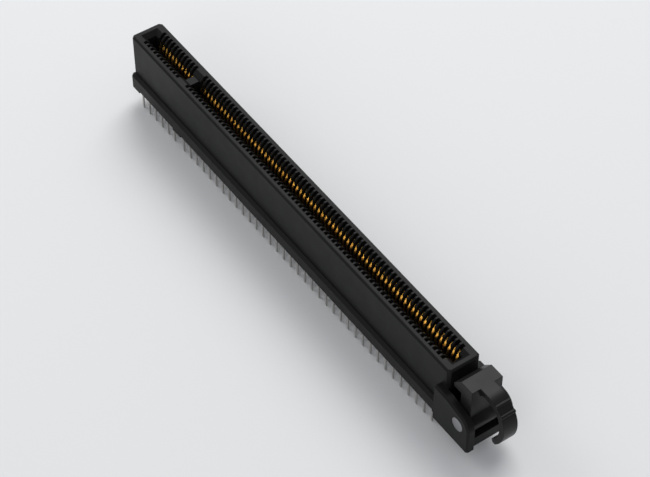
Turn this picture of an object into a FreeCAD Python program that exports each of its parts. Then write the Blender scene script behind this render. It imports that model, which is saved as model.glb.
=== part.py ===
import FreeCAD
import Part
import math
import os

# Expansion card slot for a circuit board: a long moulded socket for a card edge,
# two rows of stamped spring contacts, and a hinged latch at one end.
#
# Millimetres. X runs along the slot towards the latch, Y across it, and Z up from
# the circuit board. The origin is the centre of the locating peg under the key,
# on the board's top face.

# Runs of contact positions, counted from the end away from the latch, with the key after
# the first run, and the places of the contacts
POSITION_GROUPS = ((1, 11), (12, 18), (19, 32), (33, 49), (50, 82))
PITCH = 1.0
KEY_TO_CONTACT = 1.5
CONTACT_TO_SLOT_END = 1.2

# Card slot
SLOT_WIDTH = 1.7
SLOT_DEPTH = 8.0
LEAD_IN = 0.8
KEY_WIDTH = 1.6
KEY_BELOW_TOP = 0.9

# Contact strip and the clearance around it
CONTACT_WIDTH = 0.5
CONTACT_THICKNESS = 0.22
CONTACT_CLEARANCE = 0.06
CONTACT_GAP = 1.1
APEX_BELOW_TOP = 2.6
TIP_BELOW_TOP = 0.95
TIP_SPREAD = 0.92
INNER_ROW = 1.25
OUTER_ROW = 3.25
TAIL_LENGTH = 3.2
BEND_ABOVE_UNDERSIDE = 1.05
BEND_DROP = 0.7

# Housing walls
END_WALL = 1.8
POCKET_DEPTH = 1.3
OUTER_WALL = 0.85
TROUGH_OUTER_WALL = 0.33
TROUGH_HEIGHT = 1.2
FLOOR_THICKNESS = 2.85
STANDOFF = 0.4
BASE_STEP = 2.2
LEDGE_BEVEL = 0.5
CORNER_BEVEL = 0.5
TOP_BEVEL = 0.3
END_PAD = 2.6
KEY_PAD = 2.36

# Locating pegs
PEG_RADIUS = 1.15
PEG_LENGTH = 2.6
PEG_TIP_BEVEL = 0.4
CONTACT_TO_END_PEG = 1.65

# Latch mount, two cheeks at the end of the housing
CHEEK_THICKNESS = 1.35
CHEEK_HEIGHT = 7.6
CHEEK_BEVEL = 0.3
MOUNT_OVERLAP = 1.6
MOUNT_FLOOR = 0.9
PIVOT_FROM_HOUSING = 4.2
PIVOT_HEIGHT = 4.4
PIVOT_TO_CHEEK_END = 2.6
FRONT_STOP_HEIGHT = 2.8
REAR_STOP_HEIGHT = 2.0
STOP_CLEARANCE = 0.05
FLOOR_SETBACK = 0.5

# Latch pin
PIN_RADIUS = 1.2
PIN_PROUD = 0.12
PIN_PRESS_CLEARANCE = 0.01
PIN_RUNNING_CLEARANCE = 0.05

# Latch lever, measured from its pivot
LEVER_WIDTH = 5.7
LEVER_SIDE_CLEARANCE = 0.15
LEVER_OPEN_DEG = 28.0
HUB_RADIUS = 2.0
HEEL_HALF = 1.1
HEEL_DROP = 3.0
STEM_FRONT = 1.4
STEM_BACK = 1.1
HEAD_HEIGHT = 7.4
NOSE_REACH = 3.1
NOSE_BOTTOM = 5.0
NOSE_EDGE = 0.8
NOSE_FLAT = 1.6
HOOK_WIDTH = 2.6
HOOK_THICKNESS = 1.1
HOOK_RUN = 1.4
HOOK_TOP_RADIUS = 3.9
HOOK_TOP_DEG = 84.0
HOOK_TAIL_RADIUS = 5.6
HOOK_TAIL_DEG = 48.0
HOOK_ROOT_RADIUS = 0.9
GRIP_RADIUS = 0.3
GRIP_PLACES_DEG = (30.0, 52.0)

# Sizes that follow from the ones above
UNDERSIDE = STANDOFF
SLOT_FLOOR = UNDERSIDE + FLOOR_THICKNESS
TOP = SLOT_FLOOR + SLOT_DEPTH
POSITIONS = POSITION_GROUPS[-1][1]
COUNT_BEFORE_KEY = POSITION_GROUPS[0][1]
COUNT_AFTER_KEY = POSITIONS - COUNT_BEFORE_KEY
FIRST_CONTACT_X = -KEY_TO_CONTACT - (COUNT_BEFORE_KEY - 1) * PITCH
LAST_CONTACT_X = KEY_TO_CONTACT + (COUNT_AFTER_KEY - 1) * PITCH
SLOT_START = FIRST_CONTACT_X - CONTACT_TO_SLOT_END
SLOT_END = LAST_CONTACT_X + CONTACT_TO_SLOT_END
HOUSING_START = SLOT_START - END_WALL
HOUSING_END = SLOT_END + END_WALL
CONTACT_HALF = CONTACT_THICKNESS / 2
CHANNEL_HALF = CONTACT_HALF + CONTACT_CLEARANCE
POCKET_WIDTH = CONTACT_WIDTH + 2 * CONTACT_CLEARANCE
POCKET_BACK = SLOT_WIDTH / 2 + POCKET_DEPTH
UPPER_WIDTH = 2 * (POCKET_BACK + OUTER_WALL)
TROUGH_OUTSIDE = OUTER_ROW + CHANNEL_HALF
TROUGH_CEILING = UNDERSIDE + TROUGH_HEIGHT
BASE_WIDTH = 2 * (TROUGH_OUTSIDE + TROUGH_OUTER_WALL)
BASE_TOP = UNDERSIDE + BASE_STEP + LEDGE_BEVEL
END_PEG_X = LAST_CONTACT_X + CONTACT_TO_END_PEG
MOUNT_GAP = LEVER_WIDTH + 2 * LEVER_SIDE_CLEARANCE
MOUNT_WIDTH = MOUNT_GAP + 2 * CHEEK_THICKNESS
MOUNT_START = HOUSING_END - MOUNT_OVERLAP
PIVOT_X = HOUSING_END + PIVOT_FROM_HOUSING
MOUNT_END = PIVOT_X + PIVOT_TO_CHEEK_END
OPEN_ANGLE = math.radians(LEVER_OPEN_DEG)
HEEL_REACH = HEEL_HALF * math.cos(OPEN_ANGLE) + HEEL_DROP * math.sin(OPEN_ANGLE)

# How far a cutting tool runs past the face that it opens
PAST = 1.0

X_AXIS = FreeCAD.Vector(1, 0, 0)
Y_AXIS = FreeCAD.Vector(0, 1, 0)
Z_AXIS = FreeCAD.Vector(0, 0, 1)


def block(x0, x1, y0, y1, z0, z1):
    """A box between two corners."""
    return Part.makeBox(x1 - x0, y1 - y0, z1 - z0, FreeCAD.Vector(x0, y0, z0))


def prism(points, along):
    """A closed outline of corner points, carried along a vector into a solid."""
    corners = [FreeCAD.Vector(*p) for p in points]
    return Part.Face(Part.makePolygon(corners + corners[:1])).extrude(along)


def plate(x0, x1, width, z0, z1):
    """A plate centred on the slot's line, with its four upright corners bevelled."""
    square = block(x0, x1, -width / 2, width / 2, z0, z1)
    upright = [
        e
        for e in square.Edges
        if abs(e.Vertexes[0].X - e.Vertexes[-1].X) < 1e-6
        and abs(e.Vertexes[0].Y - e.Vertexes[-1].Y) < 1e-6
    ]
    return square.makeChamfer(CORNER_BEVEL, upright)


def edges_at_height(shape, z):
    """The edges that lie level at one height."""
    return [e for e in shape.Edges if all(abs(v.Z - z) < 1e-6 for v in e.Vertexes)]


def contact_x(position):
    """The place along the slot of a numbered contact position, from 1."""
    if position <= COUNT_BEFORE_KEY:
        return FIRST_CONTACT_X + (position - 1) * PITCH
    return KEY_TO_CONTACT + (position - COUNT_BEFORE_KEY - 1) * PITCH


def is_outer(position):
    """True for a tail in the outer row: those beside the key, then every second one."""
    if position <= COUNT_BEFORE_KEY:
        return (COUNT_BEFORE_KEY - position) % 2 == 0
    return (position - COUNT_BEFORE_KEY - 1) % 2 == 0


def offset_strip(line, half):
    """The outline of a bent strip: its centre line moved to each side, with mitred bends."""
    left, right = [], []
    for i, (a, b) in enumerate(line):
        before = line[max(i - 1, 0)]
        after = line[min(i + 1, len(line) - 1)]
        d0 = (a - before[0], b - before[1]) if i > 0 else (after[0] - a, after[1] - b)
        d1 = (after[0] - a, after[1] - b) if i < len(line) - 1 else d0
        u0 = (d0[0] / math.hypot(*d0), d0[1] / math.hypot(*d0))
        u1 = (d1[0] / math.hypot(*d1), d1[1] / math.hypot(*d1))
        normal = (-(u0[1] + u1[1]), u0[0] + u1[0])
        length = math.hypot(*normal)
        mitre = half / (length / 2)
        step = (normal[0] / length * mitre, normal[1] / length * mitre)
        left.append((a + step[0], b + step[1]))
        right.append((a - step[0], b - step[1]))
    return left + right[::-1]


def contact(position, side):
    """One stamped contact: sprung tip, the bow that grips the card, root and solder tail."""
    apex_y = CONTACT_GAP / 2 + CONTACT_HALF
    line = [
        (apex_y + TIP_SPREAD, TOP - TIP_BELOW_TOP),
        (apex_y, TOP - APEX_BELOW_TOP),
        (INNER_ROW, SLOT_FLOOR),
    ]
    if is_outer(position):
        bend = UNDERSIDE + BEND_ABOVE_UNDERSIDE
        line.append((INNER_ROW, bend))
        line.append((OUTER_ROW, bend - BEND_DROP))
        line.append((OUTER_ROW, -TAIL_LENGTH))
    else:
        line.append((INNER_ROW, -TAIL_LENGTH))
    x = contact_x(position) - CONTACT_WIDTH / 2
    outline = [(x, side * y, z) for y, z in offset_strip(line, CONTACT_HALF)]
    return prism(outline, X_AXIS * CONTACT_WIDTH)


def comb_cut(first, last, start, end):
    """One bank of the card slot, with a pocket for each contact along both of its sides."""
    half = SLOT_WIDTH / 2
    edge = [(start, half)]
    for position in range(first, last + 1):
        x = contact_x(position)
        edge.append((x - POCKET_WIDTH / 2, half))
        edge.append((x - POCKET_WIDTH / 2, POCKET_BACK))
        edge.append((x + POCKET_WIDTH / 2, POCKET_BACK))
        edge.append((x + POCKET_WIDTH / 2, half))
    edge.append((end, half))
    outline = edge + [(x, -y) for x, y in reversed(edge)]
    return prism([(x, y, SLOT_FLOOR) for x, y in outline], Z_AXIS * (SLOT_DEPTH + PAST))


def lead_in_cut():
    """The flared mouth of the card slot, wider at the top than the slot by the lead-in."""
    half = SLOT_WIDTH / 2
    grow = LEAD_IN + PAST
    low = (SLOT_START, TOP - LEAD_IN, -half)
    narrow_to_wide = (-half - grow, SLOT_START - grow)
    high = (SLOT_END, TOP + PAST, half)
    wide = (half + grow, SLOT_END + grow)
    wedge = Part.makeWedge(*low, *narrow_to_wide, *high, *wide)
    return wedge.rotate(FreeCAD.Vector(), X_AXIS, 90)


def root_channels():
    """The narrow channels in the floor that hold the contacts' roots."""
    channels = []
    for position in range(1, POSITIONS + 1):
        x = contact_x(position)
        for side in (-1, 1):
            y = side * INNER_ROW
            channels.append(
                block(
                    x - POCKET_WIDTH / 2,
                    x + POCKET_WIDTH / 2,
                    y - CHANNEL_HALF,
                    y + CHANNEL_HALF,
                    TROUGH_CEILING - PAST / 2,
                    SLOT_FLOOR,
                )
            )
    return channels


def underside_cuts():
    """The relief that leaves the standoff pads, and the troughs in which the outer tails bend out."""
    cuts = []
    banks = (
        (HOUSING_START + END_PAD, -KEY_PAD / 2),
        (KEY_PAD / 2, HOUSING_END - END_PAD),
    )
    for start, end in banks:
        cuts.append(block(start, end, -BASE_WIDTH, BASE_WIDTH, -PAST, UNDERSIDE))
        for side in (-1, 1):
            ys = sorted((side * (INNER_ROW - CHANNEL_HALF), side * TROUGH_OUTSIDE))
            cuts.append(block(start, end, ys[0], ys[1], -PAST, TROUGH_CEILING))
    return cuts


def peg(x):
    """A locating peg with a bevelled tip, under a pad."""
    bottom = -PEG_LENGTH
    down = Part.makeCylinder(PEG_RADIUS, PEG_LENGTH, FreeCAD.Vector(x, 0, bottom))
    return down.makeChamfer(PEG_TIP_BEVEL, edges_at_height(down, bottom))


def housing_body():
    """The socket's outside: a narrow upper wall on a wider base with a bevelled ledge."""
    upper = plate(HOUSING_START, HOUSING_END, UPPER_WIDTH, 0, TOP)
    upper = upper.makeChamfer(TOP_BEVEL, edges_at_height(upper, TOP))
    base = plate(HOUSING_START, HOUSING_END, BASE_WIDTH, 0, BASE_TOP)
    base = base.makeChamfer(LEDGE_BEVEL, edges_at_height(base, BASE_TOP))
    return upper.fuse(base)


def cheek(side):
    """One cheek of the latch mount, with its far top corner rounded about the pin."""
    radius = PIVOT_TO_CHEEK_END
    inner = side * MOUNT_GAP / 2
    reach = radius * math.sqrt(0.5)

    def at(x, z):
        return FreeCAD.Vector(x, inner, z)

    far = Part.Arc(
        at(MOUNT_END, PIVOT_HEIGHT),
        at(PIVOT_X + reach, PIVOT_HEIGHT + reach),
        at(PIVOT_X, PIVOT_HEIGHT + radius),
    )
    corners = [
        at(PIVOT_X, PIVOT_HEIGHT + radius),
        at(HOUSING_END + CHEEK_THICKNESS, CHEEK_HEIGHT),
        at(MOUNT_START, CHEEK_HEIGHT),
        at(MOUNT_START, 0),
        at(MOUNT_END, 0),
        at(MOUNT_END, PIVOT_HEIGHT),
    ]
    edges = [far.toShape()]
    edges += [Part.LineSegment(a, b).toShape() for a, b in zip(corners, corners[1:])]
    face = Part.Face(Part.Wire(edges))
    slab = face.extrude(Y_AXIS * side * CHEEK_THICKNESS)
    outer = side * MOUNT_WIDTH / 2
    rim = [
        e
        for e in slab.Edges
        if all(abs(v.Y - outer) < 1e-6 for v in e.Vertexes)
        and max(v.Z for v in e.Vertexes) > 1e-6
        and max(v.X for v in e.Vertexes) > MOUNT_START + 1e-6
    ]
    return slab.makeChamfer(CHEEK_BEVEL, rim)


def latch_mount():
    """The end block and two cheeks that carry the latch, and the floor and stops between them."""
    inside = MOUNT_GAP / 2
    end_block = block(MOUNT_START, HOUSING_END, -inside, inside, 0, CHEEK_HEIGHT)
    far_end = MOUNT_END - FLOOR_SETBACK
    floor = block(HOUSING_END, far_end, -inside, inside, 0, MOUNT_FLOOR)
    front = PIVOT_X - HEEL_REACH - STOP_CLEARANCE
    front_stop = block(HOUSING_END, front, -inside, inside, 0, FRONT_STOP_HEIGHT)
    rear = PIVOT_X + HEEL_HALF + STOP_CLEARANCE
    rear_stop = block(rear, far_end, -inside, inside, 0, REAR_STOP_HEIGHT)
    return end_block.fuse([floor, front_stop, rear_stop, cheek(-1), cheek(1)])


def moulding():
    """The whole moulding but its pegs, with the slot, pockets, channels and troughs cut out."""
    body = housing_body().fuse(latch_mount()).removeSplitter()
    cuts = [
        comb_cut(1, COUNT_BEFORE_KEY, SLOT_START, -KEY_WIDTH / 2),
        comb_cut(COUNT_BEFORE_KEY + 1, POSITIONS, KEY_WIDTH / 2, SLOT_END),
        block(
            -KEY_WIDTH,
            KEY_WIDTH,
            -SLOT_WIDTH / 2,
            SLOT_WIDTH / 2,
            TOP - KEY_BELOW_TOP,
            TOP + PAST,
        ),
        lead_in_cut(),
        Part.makeCylinder(
            PIN_RADIUS + PIN_PRESS_CLEARANCE,
            MOUNT_WIDTH + 2 * PAST,
            FreeCAD.Vector(PIVOT_X, -MOUNT_WIDTH / 2 - PAST, PIVOT_HEIGHT),
            Y_AXIS,
        ),
    ]
    body = body.cut(cuts)
    body = body.cut(underside_cuts())
    return body.cut(root_channels()).removeSplitter()


def housing():
    """The moulding as three simple shapes that meet face to face on the slot's two side planes.

    The core is the centre web with the key, the end walls, the pegs and the latch mount.
    Each side is one long wall with its half of the base, so the slot lies open between them.
    """
    whole = moulding()
    sides = []
    for side in (-1, 1):
        ys = sorted((side * SLOT_WIDTH / 2, side * BASE_WIDTH))
        sides.append(block(SLOT_START, SLOT_END, ys[0], ys[1], -PAST, TOP + PAST))
    core = whole.cut(sides).fuse([peg(0), peg(END_PEG_X)]).removeSplitter()
    return {
        "housing_core": core,
        "housing_side_a": whole.common(sides[0]).removeSplitter(),
        "housing_side_b": whole.common(sides[1]).removeSplitter(),
    }


def latch_pin():
    """The steel pin through both cheeks, with ends that stand a little proud."""
    length = MOUNT_WIDTH + 2 * PIN_PROUD
    start = FreeCAD.Vector(PIVOT_X, -length / 2, PIVOT_HEIGHT)
    return Part.makeCylinder(PIN_RADIUS, length, start, Y_AXIS)


def lever_point(u, w, y):
    """A point given from the pivot: u away from the slot, w up."""
    return FreeCAD.Vector(PIVOT_X + u, y, PIVOT_HEIGHT + w)


def lever_stem():
    """The lever's upright: the nose that holds the card, a round hub, and a heel for the stops."""
    y = -LEVER_WIDTH / 2
    outline = [
        (-STEM_FRONT, 0),
        (-STEM_FRONT, NOSE_BOTTOM),
        (-NOSE_REACH, NOSE_BOTTOM),
        (-NOSE_REACH, NOSE_BOTTOM + NOSE_EDGE),
        (-NOSE_FLAT, HEAD_HEIGHT),
        (STEM_BACK, HEAD_HEIGHT),
        (STEM_BACK, 0),
        (HEEL_HALF, -HEEL_DROP),
        (-HEEL_HALF, -HEEL_DROP),
    ]
    stem = prism([lever_point(u, w, y) for u, w in outline], Y_AXIS * LEVER_WIDTH)
    hub = Part.makeCylinder(HUB_RADIUS, LEVER_WIDTH, lever_point(0, 0, y), Y_AXIS)
    return stem.fuse(hub)


def hook_point(radius, offset, degrees):
    """A point beside the hook's centre line, after it has turned down by some degrees."""
    change = math.radians(HOOK_TOP_DEG)
    turn = math.radians(degrees)
    centre_u = STEM_BACK + HOOK_RUN
    centre_w = HEAD_HEIGHT - HOOK_THICKNESS / 2 - HOOK_TOP_RADIUS
    shift = HOOK_TOP_RADIUS - radius
    u = centre_u + shift * math.sin(change) + (radius + offset) * math.sin(turn)
    w = centre_w + shift * math.cos(change) + (radius + offset) * math.cos(turn)
    return lever_point(u, w, -HOOK_WIDTH / 2)


def lever_hook():
    """The finger hook: straight out of the head, round a tight bend, and curling back below."""
    half = HOOK_THICKNESS / 2
    change = HOOK_TOP_DEG
    end = HOOK_TOP_DEG + HOOK_TAIL_DEG
    tip_turn = math.radians(90 + end)
    tip_out = (Z_AXIS * math.cos(tip_turn) + X_AXIS * math.sin(tip_turn)) * half

    def arc(radius, offset, start, stop):
        places = (start, (start + stop) / 2, stop)
        return Part.Arc(*[hook_point(radius, offset, d) for d in places]).toShape()

    def line(a, b):
        return Part.LineSegment(a, b).toShape()

    def from_pivot(u, w):
        return lever_point(u, w, -HOOK_WIDTH / 2)

    under = HEAD_HEIGHT - HOOK_THICKNESS
    low = under - HOOK_ROOT_RADIUS
    near = HOOK_ROOT_RADIUS * (1 - math.sqrt(0.5))
    root = Part.Arc(
        from_pivot(STEM_BACK + HOOK_ROOT_RADIUS, under),
        from_pivot(STEM_BACK + near, under - near),
        from_pivot(STEM_BACK, low),
    )
    tip = Part.Arc(
        hook_point(HOOK_TAIL_RADIUS, half, end),
        hook_point(HOOK_TAIL_RADIUS, 0, end) + tip_out,
        hook_point(HOOK_TAIL_RADIUS, -half, end),
    )
    edges = [
        line(from_pivot(0, HEAD_HEIGHT), hook_point(HOOK_TOP_RADIUS, half, 0)),
        arc(HOOK_TOP_RADIUS, half, 0, change),
        arc(HOOK_TAIL_RADIUS, half, change, end),
        tip.toShape(),
        arc(HOOK_TAIL_RADIUS, -half, end, change),
        arc(HOOK_TOP_RADIUS, -half, change, 0),
        line(
            hook_point(HOOK_TOP_RADIUS, -half, 0),
            from_pivot(STEM_BACK + HOOK_ROOT_RADIUS, under),
        ),
        root.toShape(),
        line(from_pivot(STEM_BACK, low), from_pivot(0, low)),
        line(from_pivot(0, low), from_pivot(0, HEAD_HEIGHT)),
    ]
    return Part.Face(Part.Wire(edges)).extrude(Y_AXIS * HOOK_WIDTH)


def latch_lever():
    """The one-piece latch lever, bored for its pin, with grip ribs across its hook."""
    bore = Part.makeCylinder(
        PIN_RADIUS + PIN_RUNNING_CLEARANCE,
        LEVER_WIDTH + 2 * PAST,
        lever_point(0, 0, -LEVER_WIDTH / 2 - PAST),
        Y_AXIS,
    )
    half = HOOK_THICKNESS / 2
    grips = [
        Part.makeCylinder(
            GRIP_RADIUS, HOOK_WIDTH, hook_point(HOOK_TOP_RADIUS, half, place), Y_AXIS
        )
        for place in GRIP_PLACES_DEG
    ]
    body = lever_stem().fuse([lever_hook()] + grips)
    return body.removeSplitter().cut(bore)


def contact_groups():
    """Each group of like contacts: by side, by run of positions and by tail row."""
    groups = {}
    for row, side in (("a", -1), ("b", 1)):
        for first, last in POSITION_GROUPS:
            for tail in ("inner", "outer"):
                name = f"contacts_{row}_{first:02d}_to_{last:02d}_{tail}"
                groups[name] = [
                    contact(position, side)
                    for position in range(first, last + 1)
                    if is_outer(position) == (tail == "outer")
                ]
    return groups


def main():
    os.makedirs("parts", exist_ok=True)
    nodes = housing()
    nodes["latch_pin"] = latch_pin()
    nodes["latch_lever"] = latch_lever()
    for name, solids in contact_groups().items():
        nodes[name] = Part.makeCompound(solids)
    for name, shape in nodes.items():
        shape.exportStep(f"parts/{name}.step")
        print(name, len(shape.Solids), "solids", round(shape.Volume, 3), "mm3")


main()
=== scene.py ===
# %% [markdown]
# # An expansion card slot
# The real object is a long moulded socket that stands on a circuit board. A card is pushed into its
# slot, two rows of gold-plated springs grip the card's edge, and a small hinged latch at one end
# holds the card down. The CAD model gives its pieces at their real size. This script adds rounded edges,
# bent metal springs, finishes, light and a camera. The model's box is measured first, because the
# finished object may not grow past it.

# %% Load the CAD model and keep its box
import math

import bmesh
import bpy
import numpy as np
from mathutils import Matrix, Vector


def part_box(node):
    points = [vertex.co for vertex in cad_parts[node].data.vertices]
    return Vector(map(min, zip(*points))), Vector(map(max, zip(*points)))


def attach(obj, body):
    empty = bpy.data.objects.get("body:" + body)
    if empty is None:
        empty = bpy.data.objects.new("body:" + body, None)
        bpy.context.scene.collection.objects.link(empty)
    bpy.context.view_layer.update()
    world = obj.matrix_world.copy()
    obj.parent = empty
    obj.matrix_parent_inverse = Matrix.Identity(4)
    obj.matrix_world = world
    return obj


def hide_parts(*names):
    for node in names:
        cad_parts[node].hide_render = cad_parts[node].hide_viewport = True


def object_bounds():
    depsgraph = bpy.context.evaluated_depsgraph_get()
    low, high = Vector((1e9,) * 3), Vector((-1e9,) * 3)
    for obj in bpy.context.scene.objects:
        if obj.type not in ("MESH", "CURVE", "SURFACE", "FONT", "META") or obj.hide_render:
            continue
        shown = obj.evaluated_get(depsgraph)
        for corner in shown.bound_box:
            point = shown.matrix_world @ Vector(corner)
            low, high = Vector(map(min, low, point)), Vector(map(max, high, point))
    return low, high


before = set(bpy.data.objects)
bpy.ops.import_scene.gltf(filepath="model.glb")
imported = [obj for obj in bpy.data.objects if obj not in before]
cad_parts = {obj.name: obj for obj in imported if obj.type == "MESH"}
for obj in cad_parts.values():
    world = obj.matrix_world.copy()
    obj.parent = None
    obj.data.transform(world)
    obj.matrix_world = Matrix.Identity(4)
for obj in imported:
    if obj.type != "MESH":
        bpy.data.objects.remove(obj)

cad_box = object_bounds()
MM = 0.001
print("CAD box in mm:", [[round(c / MM, 2) for c in corner] for corner in cad_box])

# %% [markdown]
# ## Places taken from the model
# The springs, the pin and the finishes are all placed by the CAD model, so that they stay true to it
# when a size changes. A box is enough for the pin and for the heights. A contact is read more closely:
# its strip is flat, so its corners come in pairs, one on each face of the metal, and the middle of a
# pair is a corner of the strip's centre line. Pairs lie far apart in height, and the two corners of a
# pair don't, so a jump in height tells one pair from the next.

# %% Measure the housing, the pin and one contact of each kind
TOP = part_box("housing_core")[1][2] / MM
pin_low, pin_high = [np.array(corner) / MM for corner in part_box("latch_pin")]
PIN_CENTRE = (pin_low + pin_high) / 2
HEIGHT_JUMP = 0.3


def node_points(node):
    """Every vertex of a CAD node as a row (x, y, z), in millimetres."""
    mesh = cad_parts[node].data
    flat = np.empty(len(mesh.vertices) * 3)
    mesh.vertices.foreach_get("co", flat)
    return flat.reshape(-1, 3) / MM


def centre_line(node):
    """Corners (y, z) of a strip's centre line from the top down, and the strip's thickness. The points
    are sorted by height and split wherever it jumps. Each group is one pair, p and q, so its corner is
    the middle of its box, (p + q) / 2, and the lowest pair is one thickness apart."""
    profile = node_points(node)[:, 1:]
    profile = profile[np.argsort(profile[:, 1])]
    jumps = np.flatnonzero(np.diff(profile[:, 1]) > HEIGHT_JUMP) + 1
    pairs = [(group.min(axis=0), group.max(axis=0)) for group in np.split(profile, jumps)]
    corners = np.array([(p + q) / 2 for p, q in pairs])
    p, q = pairs[0]
    return corners[::-1], q[0] - p[0]


INNER_LINE, STRIP = centre_line("contacts_b_50_to_82_inner")
OUTER_LINE, _ = centre_line("contacts_b_50_to_82_outer")
TAIL_TIP = INNER_LINE[-1][1]
print("inner contact:", INNER_LINE.round(2).tolist())
print("outer contact:", OUTER_LINE.round(2).tolist())
print("strip", round(STRIP, 2), "mm thick, slot top at", round(TOP, 2), "pin at", PIN_CENTRE.round(2))

# %% [markdown]
# ## Black moulded plastic
# The housing and the latch are moulded in a black, glass-filled plastic. Its skin is matt with a faint
# unevenness from the glass fibres, which shows as a slightly patchy sheen. A picture of plastic could be
# wrapped round the parts, but a pattern worked out from a point's own place needs no unwrapping. Two
# noise patterns make it: a fine one as a very shallow bump, and a broad one that moves the roughness a
# little. The index of refraction is set low, which keeps the black deep on a pale floor.

# %% Plastic material
PATCHINESS = 0.06
GRAIN_HEIGHT = 0.02


def plain_finish(name, colour, roughness, metallic=0):
    """A material with one colour and one roughness."""
    material = bpy.data.materials.new(name)
    material.use_nodes = True
    shader = material.node_tree.nodes["Principled BSDF"]
    shader.inputs["Base Color"].default_value = (*colour, 1)
    shader.inputs["Roughness"].default_value = roughness
    shader.inputs["Metallic"].default_value = metallic
    return material


def moulded_plastic(name, colour, roughness, grain):
    """A dark plastic: its roughness wanders about a middle value, and a fine grain bumps it."""
    material = plain_finish(name, colour, roughness)
    nodes, links = material.node_tree.nodes, material.node_tree.links
    shader = nodes["Principled BSDF"]
    shader.inputs["IOR"].default_value = 1.25
    shader.inputs["Specular IOR Level"].default_value = 0.45
    place = nodes.new("ShaderNodeTexCoord")
    broad = nodes.new("ShaderNodeTexNoise")
    broad.inputs["Scale"].default_value = 350
    broad.inputs["Detail"].default_value = 3
    links.new(place.outputs["Object"], broad.inputs["Vector"])
    spread = nodes.new("ShaderNodeMapRange")
    spread.inputs["To Min"].default_value = roughness - PATCHINESS
    spread.inputs["To Max"].default_value = roughness + PATCHINESS
    links.new(broad.outputs["Fac"], spread.inputs["Value"])
    links.new(spread.outputs["Result"], shader.inputs["Roughness"])
    fine = nodes.new("ShaderNodeTexNoise")
    fine.inputs["Scale"].default_value = 5000
    fine.inputs["Detail"].default_value = 2
    links.new(place.outputs["Object"], fine.inputs["Vector"])
    bump = nodes.new("ShaderNodeBump")
    bump.inputs["Strength"].default_value = grain
    bump.inputs["Distance"].default_value = GRAIN_HEIGHT * MM
    links.new(fine.outputs["Fac"], bump.inputs["Height"])
    links.new(bump.outputs["Normal"], shader.inputs["Normal"])
    return material


housing_plastic = moulded_plastic("housing plastic", (0.008, 0.0078, 0.0075), 0.48, 0.2)
latch_plastic = moulded_plastic("latch plastic", (0.011, 0.0105, 0.0105), 0.34, 0.12)
print("plastics:", housing_plastic.name, "and", latch_plastic.name)

# %% [markdown]
# ## Plated springs and a steel pin
# A contact is one stamped strip with three finishes. Gold covers the bow that touches the card, bare
# nickel shows along the middle, and dull tin covers the tail that is soldered. Three materials would
# need a cut through every spring at each border. All three finishes follow the height above the board,
# so one material is enough, with its colour read from the object's own Z. The pin is bare steel.

# %% Metal materials
TIN = (0.50, 0.49, 0.47)
NICKEL = (0.60, 0.57, 0.50)
GOLD = (0.87, 0.62, 0.25)
STEEL = (0.30, 0.30, 0.31)
BANDS = ((0.22, TIN), (0.27, NICKEL), (0.56, NICKEL), (0.60, GOLD))


def plated_strip():
    """Contact metal in three bands by height: tin below, nickel between and gold above. A stop stands
    at its share of the height from the tail's tip to the top of the slot."""
    material = plain_finish("plated contact", NICKEL, 0.3, metallic=1)
    nodes, links = material.node_tree.nodes, material.node_tree.links
    place = nodes.new("ShaderNodeTexCoord")
    split = nodes.new("ShaderNodeSeparateXYZ")
    links.new(place.outputs["Object"], split.inputs["Vector"])
    height = nodes.new("ShaderNodeMapRange")
    height.inputs["From Min"].default_value = TAIL_TIP * MM
    height.inputs["From Max"].default_value = TOP * MM
    links.new(split.outputs["Z"], height.inputs["Value"])
    bands = nodes.new("ShaderNodeValToRGB")
    stops = bands.color_ramp.elements
    while len(stops) < len(BANDS):
        stops.new(1)
    for stop, (share, colour) in zip(stops, BANDS):
        stop.position = share
        stop.color = (*colour, 1)
    links.new(height.outputs["Result"], bands.inputs["Fac"])
    links.new(bands.outputs["Color"], nodes["Principled BSDF"].inputs["Base Color"])
    return material


contact_metal = plated_strip()
pin_steel = plain_finish("pin steel", STEEL, 0.34, metallic=1)
print("metals:", contact_metal.name, "and", pin_steel.name)

# %% [markdown]
# ## Pieces that follow the model
# The latch turns on the real part, so what is drawn for it has to turn too. A piece could be moved by
# hand for each pose. Here it is told which CAD body it rides on, so it follows the joint by itself, and
# which CAD nodes it stands for, so their plain shapes are hidden.

# %% Put a piece on its body
def new_object(name, mesh, body, material, stands_for):
    """Links a mesh as one piece, lets it ride on a CAD body and hides the nodes that it stands for."""
    piece = bpy.data.objects.new(name, mesh)
    bpy.context.scene.collection.objects.link(piece)
    mesh.materials.clear()
    mesh.materials.append(material)
    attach(piece, body)
    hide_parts(*stands_for)
    return piece


# %% [markdown]
# ## The housing, joined into one moulding
# The housing is one moulding, and the CAD model keeps it as three shapes that meet face to face. Laid
# side by side they would show seams and hold faces inside, so they are joined with a Boolean union.
# Their points are rounded to a ten thousandth of a millimetre before it, so that faces that touch lie
# exactly in one plane, because the smallest step between them would leave the union open.

# %% Join the housing's shapes
DECIMALS = 4
WELD = 1e-4


def merged_copy(node):
    """A welded copy of a CAD node's mesh, in millimetres, with each coordinate rounded."""
    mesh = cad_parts[node].data.copy()
    mesh.vertices.foreach_set("co", node_points(node).round(DECIMALS).ravel())
    shape = bmesh.new()
    shape.from_mesh(mesh)
    bmesh.ops.remove_doubles(shape, verts=shape.verts, dist=WELD)
    shape.to_mesh(mesh)
    shape.free()
    helper = bpy.data.objects.new(node + " copy", mesh)
    bpy.context.scene.collection.objects.link(helper)
    return helper


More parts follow.
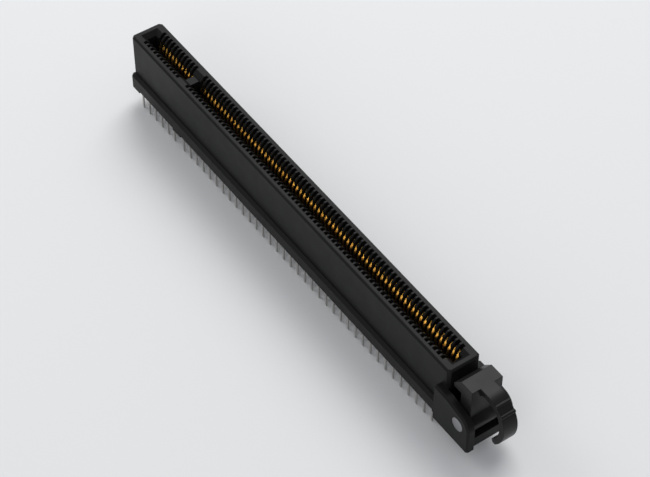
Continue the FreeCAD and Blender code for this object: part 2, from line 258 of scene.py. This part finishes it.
def united(nodes):
    """One mesh from several CAD nodes: their union, without the faces where they meet."""
    helpers = [merged_copy(node) for node in nodes]
    base = helpers[0]
    for other in helpers[1:]:
        join = base.modifiers.new("join", "BOOLEAN")
        join.operation = "UNION"
        join.solver = "EXACT"
        join.object = other
    depsgraph = bpy.context.evaluated_depsgraph_get()
    mesh = bpy.data.meshes.new_from_object(base.evaluated_get(depsgraph))
    for helper in helpers:
        old = helper.data
        bpy.data.objects.remove(helper)
        bpy.data.meshes.remove(old)
    return mesh


HOUSING_NODES = ["housing_core", "housing_side_a", "housing_side_b"]
housing_mesh = united(HOUSING_NODES)
lever_mesh = united(["latch_lever"])
print("joined faces: housing", len(housing_mesh.polygons), "and lever", len(lever_mesh.polygons))

# %% [markdown]
# ## The housing and the latch, rounded at their edges
# The housing and the latch are two mouldings, and no moulded edge is perfectly sharp. Their edges could
# be rounded in the CAD model, but with hundreds of pockets that would make it very heavy. So flat
# neighbours are merged here, and a Bevel modifier rounds every true edge by a few hundredths of a
# millimetre. That thin rounded line is what catches the light on the comb of ribs. A Weighted Normal
# modifier then lets the larger face rule the shading wherever two faces meet, so the wide walls stay
# flat to the light beside their narrow rounded edges.

# %% Round the mouldings
FLAT_DEGREES = 0.5
EDGE_DEGREES = 28
HOUSING_ROUNDING = 0.05
LATCH_ROUNDING = 0.06


def rounded_piece(name, mesh, nodes, body, material, rounding):
    """A piece that stands for CAD nodes: its flat faces are merged and its edges bevelled."""
    shape = bmesh.new()
    shape.from_mesh(mesh)
    bmesh.ops.remove_doubles(shape, verts=shape.verts, dist=WELD)
    bmesh.ops.dissolve_limit(
        shape, angle_limit=math.radians(FLAT_DEGREES), verts=shape.verts, edges=shape.edges
    )
    bmesh.ops.scale(shape, vec=Vector((MM,) * 3), verts=shape.verts)
    shape.to_mesh(mesh)
    shape.free()
    mesh.shade_smooth()
    mesh.set_sharp_from_angle(angle=math.radians(EDGE_DEGREES))
    piece = new_object(name, mesh, body, material, nodes)
    bevel = piece.modifiers.new("moulded edge", "BEVEL")
    bevel.width = rounding * MM
    bevel.segments = 2
    bevel.limit_method = "ANGLE"
    bevel.angle_limit = math.radians(EDGE_DEGREES)
    bevel.use_clamp_overlap = False
    weigh = piece.modifiers.new("flat faces first", "WEIGHTED_NORMAL")
    weigh.mode = "FACE_AREA"
    weigh.keep_sharp = True
    print(name, len(mesh.polygons), "faces before its bevel")


rounded_piece("housing", housing_mesh, HOUSING_NODES, "socket", housing_plastic, HOUSING_ROUNDING)
rounded_piece("lever", lever_mesh, ["latch_lever"], "lever", latch_plastic, LATCH_ROUNDING)

# %% [markdown]
# ## A surface from a grid
# The pin and the springs are drawn as tubes. A tube is one grid of points: rows go along a path and
# columns go round a section. One helper turns such grids into closed surfaces. It joins the last column
# to the first, closes both ends with a flat face and turns every face outwards. Where two faces meet at
# more than a given angle their edge is marked as sharp, so bends look smooth and cut edges stay crisp.

# %% Close and turn a tube
def tube_mesh(name, grids, sharp_degrees):
    """A mesh of closed tubes, one for each grid of stations by corners, in millimetres. Each quad joins
    (i, j), (i, j+1), (i+1, j+1), (i+1, j), with j counted round the section."""
    count, stations, corners = grids.shape[:3]
    i, j = np.meshgrid(np.arange(stations - 1), np.arange(corners), indexing="ij")
    k = (j + 1) % corners
    here, ahead = i * corners, (i + 1) * corners
    quads = np.stack([here + j, here + k, ahead + k, ahead + j], axis=-1).reshape(-1, 4)
    start = np.arange(corners)[::-1]
    end = np.arange(corners) + (stations - 1) * corners
    faces = []
    for first in np.arange(count) * stations * corners:
        faces += (quads + first).tolist()
        faces += [(start + first).tolist(), (end + first).tolist()]
    mesh = bpy.data.meshes.new(name)
    mesh.from_pydata((grids.reshape(-1, 3) * MM).tolist(), [], faces)
    shape = bmesh.new()
    shape.from_mesh(mesh)
    bmesh.ops.recalc_face_normals(shape, faces=shape.faces)
    shape.to_mesh(mesh)
    shape.free()
    mesh.shade_smooth()
    mesh.set_sharp_from_angle(angle=math.radians(sharp_degrees))
    return mesh


# %% [markdown]
# ## The latch pin
# The pin is a length of steel wire, cut off and pressed in, so its ends are slightly domed. A turned
# part is easiest as a surface of revolution: a profile of distance along the axis and radius, carried
# once round.

# %% Pin as a surface of revolution
PIN_DOME = 0.12
POLE_ANGLE = 0.15
RINGS = 6
SIDES = 32
PIN_SHARP_DEGREES = 35


def domed_pin(radius, length):
    """Points (r cos t, a, r sin t) for t once round. Over each dome an angle p runs from near the pole
    to the rim: r is the radius times sin p, and a stands back from the end by dome times 1 - cos p."""
    p = np.linspace(POLE_ANGLE, math.pi / 2, RINGS)
    cap_along = -length / 2 + PIN_DOME * (1 - np.cos(p))
    cap_radius = radius * np.sin(p)
    a = np.concatenate([cap_along, -cap_along[::-1]])
    r = np.concatenate([cap_radius, cap_radius[::-1]])
    t = np.linspace(0, 2 * math.pi, SIDES, endpoint=False)
    a, r, t = np.broadcast_arrays(a[:, None], r[:, None], t)
    return np.stack([r * np.cos(t), a, r * np.sin(t)], axis=-1)


pin_size = pin_high - pin_low
pin_grid = domed_pin(pin_size[0] / 2, pin_size[1]) + PIN_CENTRE
pin_mesh = tube_mesh("pin", pin_grid[None], PIN_SHARP_DEGREES)
new_object("pin", pin_mesh, "socket", pin_steel, ["latch_pin"])
print("pin", pin_size.round(2), "mm")

# %% [markdown]
# ## The spring contacts
# Each contact is stamped from thin strip and bent. Seen from the end of the slot, its path starts at a
# lip that is turned away from the card, comes in to a bow, runs out and down to a straight root, and
# leaves the housing as a tail. Half of the contacts bend outwards under the housing first, so the
# tails stand in four rows. A curve with thickness could draw such a path, but its section may twist on
# the way, so the strip is a grid whose two faces stay parallel. Real strip bends on a radius, so the
# corners of the path are rounded. The strip is a little narrower at the lip than at the root, which
# makes the spring softer towards its end.

# %% The path of a contact
BEND_RADIUS = 0.45
BEND_POINTS = 3
LIP_NARROWING = 0.7
TAIL_NARROWING = 0.6


def rounded_path(corners, radius):
    """A polyline whose inner corners are replaced by short curves. Each is a quadratic Bezier arc from
    a point a before the corner to a point c after it, both within half of the neighbouring runs: its
    points are (1-t)^2 a + 2t(1-t) corner + t^2 c, for t from 0 to 1."""
    points = [corners[0]]
    for before, here, after in zip(corners, corners[1:], corners[2:]):
        back, on = before - here, after - here
        reach_back = min(radius, np.linalg.norm(back) / 2) / np.linalg.norm(back)
        reach_on = min(radius, np.linalg.norm(on) / 2) / np.linalg.norm(on)
        a, c = here + back * reach_back, here + on * reach_on
        t = np.linspace(0, 1, BEND_POINTS)[:, None]
        points.extend((1 - t) ** 2 * a + 2 * t * (1 - t) * here + t**2 * c)
    points.append(corners[-1])
    return np.array(points)


def contact_strip(corners, strip_width):
    """A grid of stations by four corners: the path moved half a thickness each way along its normal,
    and half a width each way along X. The width falls from the root to the lip, and to the tail."""
    path = rounded_path(corners, BEND_RADIUS)
    along = np.gradient(path, axis=0)
    along /= np.linalg.norm(along, axis=1)[:, None]
    normal = np.stack([-along[:, 1], along[:, 0]], axis=1)
    bow, root = corners[1][1], corners[2][1]
    heights = [0, root / 4, root, bow, TOP]
    shares = [TAIL_NARROWING, 1, 1, (1 + LIP_NARROWING) / 2, LIP_NARROWING]
    width = strip_width * np.interp(path[:, 1], heights, shares)
    grid = np.zeros((len(path), 4, 3))
    for corner, (sx, sn) in enumerate(((-1, -1), (1, -1), (1, 1), (-1, 1))):
        grid[:, corner, 0] = sx * width / 2
        grid[:, corner, 1:] = path + sn * STRIP / 2 * normal
    return grid


print("a strip of", len(rounded_path(OUTER_LINE, BEND_RADIUS)), "stations, bent on", BEND_RADIUS, "mm")

# %% [markdown]
# ## The comb of contacts
# The springs are stamped as one comb and pushed into the housing together, so they are all alike. Here
# too one strip is worked out once and then repeated. An Array modifier could do that, but the springs of
# one CAD node are enough for a piece, and their places follow from the node's box. So the strip's grid
# is mirrored for the far side and added to a column of places along the slot, as whole arrays.

# %% Stand the contacts in the housing
STEP = 2.0
STRIP_SHARP_DEGREES = 50


def contact_group(node):
    """All contacts of one CAD node as one piece: the same grid moved to each place along the slot.
    Contacts of one node stand two positions apart, so its box gives their places and their width."""
    low, high = [np.array(c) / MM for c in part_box(node)]
    side = -1 if high[1] < 0 else 1
    count = int((high[0] - low[0]) // STEP) + 1
    strip_width = high[0] - low[0] - STEP * (count - 1)
    places = low[0] + strip_width / 2 + STEP * np.arange(count)
    corners = OUTER_LINE if node.endswith("outer") else INNER_LINE
    strip = contact_strip(corners, strip_width) * (1, side, 1)
    grids = strip + places[:, None, None, None] * (1, 0, 0)
    mesh = tube_mesh(node, grids, STRIP_SHARP_DEGREES)
    new_object(node.replace("contacts", "springs"), mesh, "socket", contact_metal, [node])
    return count


made = 0
for node in sorted(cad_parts):
    if node.startswith("contacts"):
        made += contact_group(node)
print("contacts made:", made)

# %% [markdown]
# ## The floor
# On a circuit board the tails would be hidden in their holes. Here the part stands on the tips of its
# tails, on a plain pale floor, so that all of it can be seen. The floor is one large square, big enough
# to fill the picture from every side.

# %% Floor
HALF_FLOOR = 4.0
floor_height = TAIL_TIP * MM
floor_mesh = bpy.data.meshes.new("floor")
floor_mesh.from_pydata(
    [
        (-HALF_FLOOR, -HALF_FLOOR, floor_height),
        (HALF_FLOOR, -HALF_FLOOR, floor_height),
        (HALF_FLOOR, HALF_FLOOR, floor_height),
        (-HALF_FLOOR, HALF_FLOOR, floor_height),
    ],
    [],
    [(0, 1, 2, 3)],
)
floor_mesh.materials.append(plain_finish("pale floor", (0.80, 0.80, 0.79), 0.7))
floor = bpy.data.objects.new("floor", floor_mesh)
bpy.context.scene.collection.objects.link(floor)
print("floor at", round(floor_height / MM, 2), "mm")

# %% [markdown]
# ## Soft light
# Black plastic shows its shape by what it reflects, so the lamps are wide squares with soft edges. The
# largest stands high behind the part and opposite the camera. It makes the top edges, the comb and the
# latch shine, and throws the shadow towards the viewer, where it keeps the side wall dark. A weak one
# beside the camera opens up that wall, another on the left lights the end away from the latch, and a
# pale sky fills the rest. The lamps are bright enough for a colour to render about as it is written,
# and no brighter.

# %% Lamps and sky
CENTRE = Vector([(a + b) / 2 for a, b in zip(*cad_box)])


def viewing_side(azimuth, elevation):
    """The unit vector from the part towards a viewer: (sin a cos e, -cos a cos e, sin e)."""
    a, e = math.radians(azimuth), math.radians(elevation)
    return Vector((math.sin(a) * math.cos(e), -math.cos(a) * math.cos(e), math.sin(e)))


def softbox(name, azimuth, elevation, distance, size, watts):
    """A square lamp that faces the part, placed by the camera's own angles round it."""
    back = viewing_side(azimuth, elevation)
    data = bpy.data.lights.new(name, "AREA")
    data.size = size
    data.energy = watts
    lamp = bpy.data.objects.new(name, data)
    lamp.location = CENTRE + back * distance
    lamp.rotation_mode = "QUATERNION"
    lamp.rotation_quaternion = (-back).to_track_quat("-Z", "Y")
    bpy.context.scene.collection.objects.link(lamp)


softbox("key", azimuth=225, elevation=50, distance=0.9, size=0.55, watts=4.8)
softbox("front", azimuth=30, elevation=30, distance=1.0, size=0.5, watts=1.2)
softbox("side", azimuth=300, elevation=40, distance=0.9, size=0.35, watts=1.2)

world = bpy.data.worlds.new("sky")
bpy.context.scene.world = world
world.use_nodes = True
sky = world.node_tree.nodes["Background"]
sky.inputs["Color"].default_value = (0.9, 0.93, 1.0, 1)
sky.inputs["Strength"].default_value = 0.45
bpy.context.scene.view_settings.view_transform = "Standard"
print("lamps:", [lamp.name for lamp in bpy.data.lights])

# %% [markdown]
# ## The camera
# The slot is seen as in the photograph: from above and to one side, so that it runs down from the
# upper left to the latch at the lower right. The camera is placed by azimuth and elevation, and could
# be aimed at the middle of the part's box. A long part seen from one end then sits off centre, so the
# camera is moved sideways until the part's own points are centred, and zoomed until they fill the frame.

# %% Aim and zoom the camera
AZIMUTH = 55.0
ELEVATION = 48.0
DISTANCE = 0.34
FRAME_WIDTH = 650
FRAME_HEIGHT = 477
FILL = 0.90
CENTRING_ROUNDS = 6


def aim_camera(camera, points):
    """Moves the camera across its own view until the projected points are centred, then sets the
    lens so that the wider of their two spans fills the frame by the given share."""
    back = np.array(viewing_side(AZIMUTH, ELEVATION))
    right = np.cross((0, 0, 1), back)
    right /= np.linalg.norm(right)
    up = np.cross(back, right)
    target = points.mean(axis=0)
    for _ in range(CENTRING_ROUNDS):
        place = target + back * DISTANCE
        offset = points - place
        depth = -offset @ back
        x, y = offset @ right / depth, offset @ up / depth
        middle = np.array([(x.min() + x.max()) / 2, (y.min() + y.max()) / 2])
        target = target + (right * middle[0] + up * middle[1]) * DISTANCE
    half_x, half_y = np.ptp(x) / 2, np.ptp(y) / 2
    half_width = max(half_x, half_y * FRAME_WIDTH / FRAME_HEIGHT) / FILL
    camera.data.sensor_fit = "HORIZONTAL"
    camera.data.lens = camera.data.sensor_width / 2 / half_width
    camera.location = Vector(target + back * DISTANCE)
    camera.rotation_mode = "QUATERNION"
    camera.rotation_quaternion = Vector(-back).to_track_quat("-Z", "Y")
    return half_x, half_y


camera = bpy.data.objects.new("camera", bpy.data.cameras.new("camera"))
camera.data.clip_start = 0.01
camera.data.clip_end = 20
bpy.context.scene.collection.objects.link(camera)
bpy.context.scene.camera = camera
spans = aim_camera(camera, np.concatenate([node_points(node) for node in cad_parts]) * MM)
print("lens", round(camera.data.lens, 1), "mm, half spans", np.round(spans, 4))
